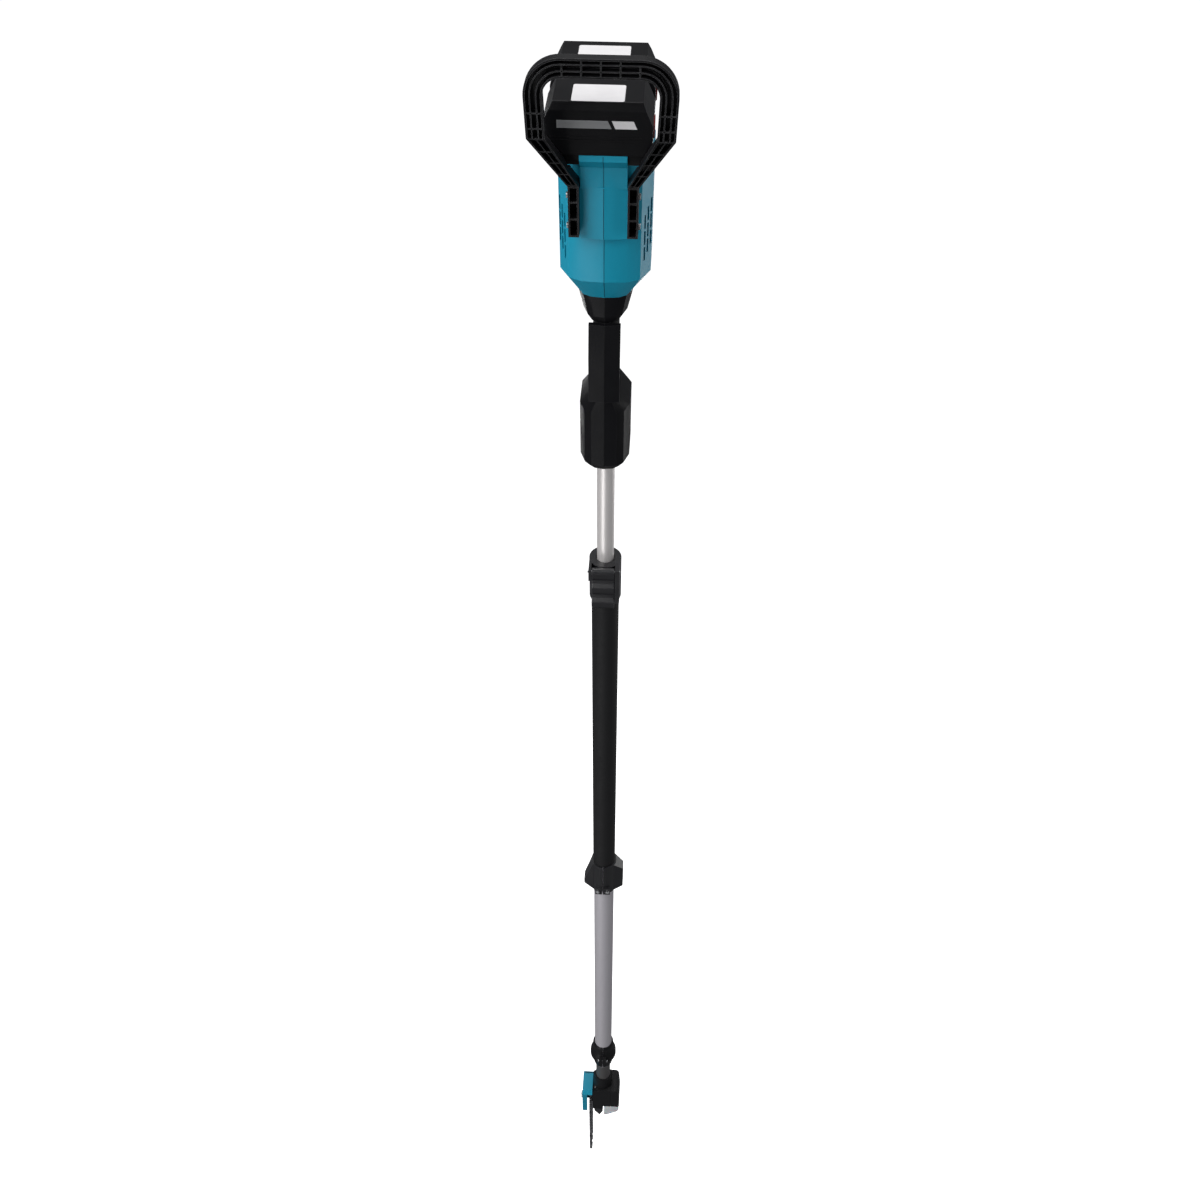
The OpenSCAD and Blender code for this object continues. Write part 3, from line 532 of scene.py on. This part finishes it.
# Batteries: blank labels on the rear faces, and a stripe, a wedge and two edge trims on the near pack
SINK = 0.1                     # how far a plate is set into the pack
LABEL_X = -6.0                 # the packs' middle, left to right
LABEL_T = 0.45
LABEL_CORNER = 2.5
STRIPE_T = 0.4
STRIPE_LOW = 313.5
STRIPE_HIGH = 322.0
TRIM_LEFT = -56.0
TRIM_RIGHT = 42.0
TRIM_Z = (300.0, 303.4)
TRIM_H = 1.3
PACK_Z = box_mm("battery_near")[1].z
NEAR_Y = box_mm("battery_near")[0].y


def plate(name, outline, place, thick, material, body, bevel=0.15):
    shape = Shape(name)
    shape.prism(outline, place, thick)
    shape.finish(material, body, bevel=bevel)


def rounded(u1, u2, v1, v2, r, steps=5):
    """A rectangle's outline with round corners."""
    pts = []
    left, right, low, high = u1 + r, u2 - r, v1 + r, v2 - r
    for cu, cv, a0 in ((right, high, 0), (left, high, 90), (left, low, 180), (right, low, 270)):
        for i in range(steps + 1):
            a = math.radians(a0 + 90 * i / steps)
            pts.append((cu + r * math.cos(a), cv + r * math.sin(a)))
    return pts


def on_rear(u, v, w):
    return u, v, PACK_Z - SINK + w


def on_side(u, v, w):
    return u, NEAR_Y + (SINK - w), v


def pack_label(name, y1, y2, half):
    outline = rounded(LABEL_X - half, LABEL_X + half, y1, y2, LABEL_CORNER)
    body = f"battery_{name}_body"
    plate(f"battery_{name}_label", outline, on_rear, LABEL_T, MATS["label"], body, bevel=0.1)


def near_side():
    body = "battery_near_body"
    z1, z2 = STRIPE_LOW, STRIPE_HIGH
    stripe = [(-49, z1), (9, z1), (5, z2), (-49, z2)]
    wedge = [(13, z1), (36, z1), (32, z2), (9, z2)]
    plate("battery_near_stripe", stripe, on_side, STRIPE_T, MATS["stripe_grey"], body)
    plate("battery_near_mark", wedge, on_side, STRIPE_T, MATS["label"], body)
    trim = Shape("battery_near_trim")
    for z in TRIM_Z:
        corners = [(TRIM_LEFT, z), (TRIM_RIGHT, z), (TRIM_RIGHT, z + TRIM_H), (TRIM_LEFT, z + TRIM_H)]
        trim.hexa([(x, NEAR_Y + (0.6 - d), zz) for d in (0, 1.1) for x, zz in corners])
    trim.finish(MATS["battery_plastic"], body, bevel=0.3)


pack_label("near", -80, -38, 28)
pack_label("far", 26, 68, 29)
near_side()


# Saw chain: tie straps, drive links and cutters round the bar
LINKS = 84
CHAIN_GROW = 3.2               # from the bar's edge to the chain's middle line
TAIL_DROP = 61.0               # from the sprocket's axis down to the bar's full width
SPROCKET_R = 14.4
STRAP_X = (-3.3, 2.0)          # low side of the left and the right tie strap
STRAP_T = 1.3
DRIVE_HALF = 0.75              # half thickness of a drive link
CUTTER_X = (-3.4, 0.6)         # low side of a left and a right cutter
CUTTER_T = 2.8
RIVET_R = 1.15
RIVET_HALF = 3.5
NEAR_MIDDLE = 8.0              # this close to the bar's middle line, outward is up or down


def chain_outline():
    """The chain's closed path in (y, z): round the nose, up one side, round the sprocket and down."""
    lo, hi = box_mm("guide_bar")
    half = (hi.y - lo.y) / 2
    sprocket_z = sum(corner.z for corner in box_mm("chain_sprocket")) / 2
    nose_z, tail_z = lo.z + half, sprocket_z - TAIL_DROP
    wide, small = half + CHAIN_GROW, SPROCKET_R + CHAIN_GROW
    nose = []
    for degrees in range(0, 181, 5):
        a = math.radians(degrees)
        nose.append((wide * math.cos(a), nose_z - wide * math.sin(a)))
    slope = math.asin((wide - small) / (sprocket_z - tail_z))
    tail = []
    for k in range(19):
        a = slope * k / 18
        tail.append((-wide * math.cos(a), tail_z + wide * math.sin(a)))
    drive = []
    for k in range(25):
        a = lerp(slope, math.pi - slope, k / 24)
        drive.append((-small * math.cos(a), sprocket_z + small * math.sin(a)))
    return nose + tail + drive + [(-y, z) for y, z in tail[::-1]]


def even_points(ring, count):
    """Points at equal distances along a closed path."""
    total = [0.0]
    for a, b in zip(ring, ring[1:] + ring[:1]):
        total.append(total[-1] + math.dist(a, b))
    out = []
    i = 0
    for k in range(count):
        d = total[-1] * k / count
        while total[i + 1] < d:
            i += 1
        t = (d - total[i]) / (total[i + 1] - total[i] or 1)
        a, b = ring[i % len(ring)], ring[(i + 1) % len(ring)]
        out.append((lerp(a[0], b[0], t), lerp(a[1], b[1], t)))
    return out


def link_frame(start, end, mid_x, mid_z):
    """A link's length, and a function that maps (along, outward, sideways) to x, y, z."""
    (y0, z0), (y1, z1) = start, end
    length = math.dist(start, end)
    ty, tz = (y1 - y0) / length, (z1 - z0) / length
    ny, nz = -tz, ty
    rise = nz * (z0 - mid_z)
    faces_in = ny * y0 + rise < 0 and abs(ny * y0) > 0.1
    if faces_in or (abs(y0) < NEAR_MIDDLE and rise < 0):
        ny, nz = -ny, -nz

    def at(along, out, x):
        return mid_x + x, y0 + along * ty + out * ny, z0 + along * tz + out * nz

    return length, at


def chain_links():
    lo, hi = box_mm("saw_chain")
    mid_x, mid_z = (lo.x + hi.x) / 2, (lo.z + hi.z) / 2
    chain = Shape("saw_chain_links")
    path = even_points(chain_outline(), LINKS)
    rivet_turns = [math.radians(degrees) for degrees in range(0, 360, 45)]
    rivet = [(RIVET_R * math.cos(a), RIVET_R * math.sin(a) - 0.3) for a in rivet_turns]
    for k in range(LINKS):
        length, at = link_frame(path[k], path[(k + 1) % LINKS], mid_x, mid_z)

        def plate_between(outline, x1, x2):
            chain.sweep([[at(a, o, x) for a, o in outline] for x in (x1, x2)])

        if k % 2 == 0:
            strap = [(-0.6, -2.4), (length * 0.5, -1.7), (length + 0.6, -2.4), (length + 1.1, 0.2),
                     (length + 0.4, 1.9), (-0.4, 1.9), (-1.1, 0.2)]
            for x in STRAP_X:
                plate_between(strap, x, x + STRAP_T)
        else:
            drive = [(-0.8, -1.8), (length * 0.5, -2.9), (length + 0.8, -1.8), (length + 0.8, 1.5),
                     (-0.8, 1.5)]
            plate_between(drive, -DRIVE_HALF, DRIVE_HALF)
        if k % 8 == 0:
            cutter = [(0.2, 1.6), (1.6, 3.4), (length + 0.4, 3.1), (length + 0.6, 1.6)]
            x = CUTTER_X[k // 8 % 2]
            plate_between(cutter, x, x + CUTTER_T)
        plate_between(rivet, -RIVET_HALF, RIVET_HALF)
    chain.finish(MATS["chain_steel"], "bar_body", replaces=("saw_chain",))


chain_links()


# Seam lines between the two halves of the housing and of the handle: thin dark strips proud of the
# surface, painted shade in the seam gaps
SEAM_HALF = 0.35               # half width of a strip
SEAM_PROUD = 0.12
SEAM_DEEP = 0.6
SEAM_BEND = 0.01               # a smaller bend between two probes counts as straight
SEAM_STEP = 1.0                # height between two probes of the surface
SEAM_JUMP = 2.5                # a step of the surface that ends a strip
PROBE_START = -0.3             # y where the probes start, in metres
PROBE_X = {
    "motor_housing_left": -0.0004, "motor_housing_right": 0.0004, "handle_left": -0.0004,
    "handle_right": 0.0004,
}


def seam(name, points, material):
    """A thin strip that follows (y, z) points along the middle plane, on the -Y side."""
    shape = Shape(name)
    for pair in zip(points, points[1:]):
        corners = []
        for y, z in pair:
            front, back = y - SEAM_PROUD, y + SEAM_DEEP
            corners += [(-SEAM_HALF, front, z), (SEAM_HALF, front, z)]
            corners += [(SEAM_HALF, back, z), (-SEAM_HALF, back, z)]
        shape.hexa(corners)
    shape.finish(material, "rear_unit")


def skyline(nodes, heights):
    """The lowest y of the named nodes' meshes near x = 0, for each z, as (y, z) points."""
    out = []
    for z in heights:
        found = []
        for name in nodes:
            start = Vector((PROBE_X[name], PROBE_START, z * MM))
            hit, place, _, _ = N[name].ray_cast(start, Vector((0, 1, 0)))
            if hit:
                found.append(place.y)
        if found:
            out.append((min(found) / MM, z))
    return out


def runs(points):
    """Splits a skyline where it steps."""
    out, run = [], []
    for point in points:
        if run and abs(point[0] - run[-1][0]) > SEAM_JUMP:
            out.append(run)
            run = []
        run.append(point)
    return [run for run in out + [run] if len(run) > 1]


def seams(name, nodes, top, bottom, material):
    heights = [top - SEAM_STEP * i for i in range(int((top - bottom) / SEAM_STEP) + 1)]
    for i, run in enumerate(runs(skyline(nodes, heights))):
        triples = zip(run, run[1:], run[2:])
        bends = [b for a, b, c in triples if abs(a[0] - 2 * b[0] + c[0]) > SEAM_BEND]
        seam(f"{name}_{i}", [run[0]] + bends + [run[-1]], material)


house_lo, house_hi = box_mm("motor_housing_left")
handle_lo, handle_hi = box_mm("handle_left")
seams("housing_seam", ("motor_housing_left", "motor_housing_right"), house_hi.z - 1, house_lo.z + 0.5,
      MATS["seam_shadow"])
seams("handle_seam", ("handle_left", "handle_right"), handle_hi.z - 1, handle_lo.z + 3,
      MATS["seam_black"])


# ------------------------------------------------------------------- lighting


def area(name, place, target, size, power):
    """A rectangular light at a place, turned to a target."""
    data = bpy.data.lights.new(name, "AREA")
    data.shape = "RECTANGLE"
    data.size, data.size_y = size
    data.energy = power
    lamp = bpy.data.objects.new(name, data)
    lamp.location = place
    lamp.rotation_mode = "QUATERNION"
    lamp.rotation_quaternion = (Vector(target) - Vector(place)).to_track_quat("-Z", "Y")
    scene.collection.objects.link(lamp)


# A dim sky lights the object, and the camera sees a pale one
world = bpy.data.worlds.new("studio")
scene.world = world
world.use_nodes = True
sky = world.node_tree
dim = sky.nodes["Background"]
dim.inputs["Color"].default_value = (0.95, 0.97, 1.0, 1)
dim.inputs["Strength"].default_value = 0.13
pale = sky.nodes.new("ShaderNodeBackground")
pale.inputs["Color"].default_value = (1, 1, 1, 1)
pale.inputs["Strength"].default_value = 0.97
ray = sky.nodes.new("ShaderNodeLightPath")
pick = sky.nodes.new("ShaderNodeMixShader")
sky.links.new(ray.outputs["Is Camera Ray"], pick.inputs[0])
sky.links.new(dim.outputs[0], pick.inputs[1])
sky.links.new(pale.outputs[0], pick.inputs[2])
sky.links.new(pick.outputs[0], sky.nodes["World Output"].inputs["Surface"])

area("key", (-2.6, -2.0, 2.4), (0, 0, -0.2), (3.6, 3.6), 185)
area("fill", (2.8, -1.6, 0.6), (0, 0, -0.6), (1.6, 3.2), 26)
area("top", (0.2, 0.9, 2.6), (0, 0, 0.2), (2.4, 1.6), 60)
area("back", (-0.6, 3.6, -2.0), (0, 0, -1.0), (2.2, 1.8), 55)
area("side", (3.2, 1.8, -1.8), (0, 0, -1.1), (1.8, 1.8), 24)
area("low", (-1.4, -2.4, -2.0), (0, 0, -1.9), (1.6, 2.6), 28)

FLOOR_DROP = 1.25              # below the saw's tip, with room for the pole's extension
FLOOR_HALF = 60.0


def backdrop_material():
    """A pale studio floor that is slightly lit from within."""
    g = Graph("floor")
    g.link(g.mix(g.noise(0.6, 3), (0.86, 0.86, 0.86), (0.9, 0.9, 0.9)), g.bsdf.inputs["Base Color"])
    g.bsdf.inputs["Roughness"].default_value = 0.9
    g.bsdf.inputs["Emission Color"].default_value = (1, 1, 1, 1)
    g.bsdf.inputs["Emission Strength"].default_value = 0.9
    return g.mat


bm = bmesh.new()
bmesh.ops.create_grid(bm, x_segments=8, y_segments=8, size=FLOOR_HALF)
floor_mesh = bpy.data.meshes.new("floor")
bm.to_mesh(floor_mesh)
bm.free()
floor = bpy.data.objects.new("floor", floor_mesh)
floor.location = (0, 0, cad_lo.z - FLOOR_DROP)
scene.collection.objects.link(floor)
dress(floor, backdrop_material())
floor.visible_glossy = False
floor.visible_diffuse = False

# --------------------------------------------------------------------- camera

AROUND = math.radians(3.0)     # camera's place round the pole, from straight ahead
PITCH = math.radians(44.9)     # how far it looks down
YAW = 0.0042                   # small turns that centre the pole, in radians
ROLL = 0.0045
DISTANCE = 1.36                # from the pole axis, in metres
HEIGHT = 0.886                 # above the rear grip
LENS = 37.38
cam_data = bpy.data.cameras.new("camera")
cam_data.sensor_width = 36.0
cam_data.lens = LENS
cam_data.clip_end = 200
camera = bpy.data.objects.new("camera", cam_data)
camera.location = (DISTANCE * math.sin(AROUND), -DISTANCE * math.cos(AROUND), HEIGHT)
camera.rotation_mode = "QUATERNION"
turn = Matrix.Rotation(AROUND, 4, "Z") @ Matrix.Rotation(math.pi / 2 - PITCH, 4, "X")
turn = turn @ Matrix.Rotation(YAW, 4, "Y") @ Matrix.Rotation(ROLL, 4, "Z")
camera.rotation_quaternion = turn.to_quaternion()
scene.collection.objects.link(camera)
scene.camera = camera
scene.view_settings.view_transform = "Standard"
scene.view_settings.look = "None"
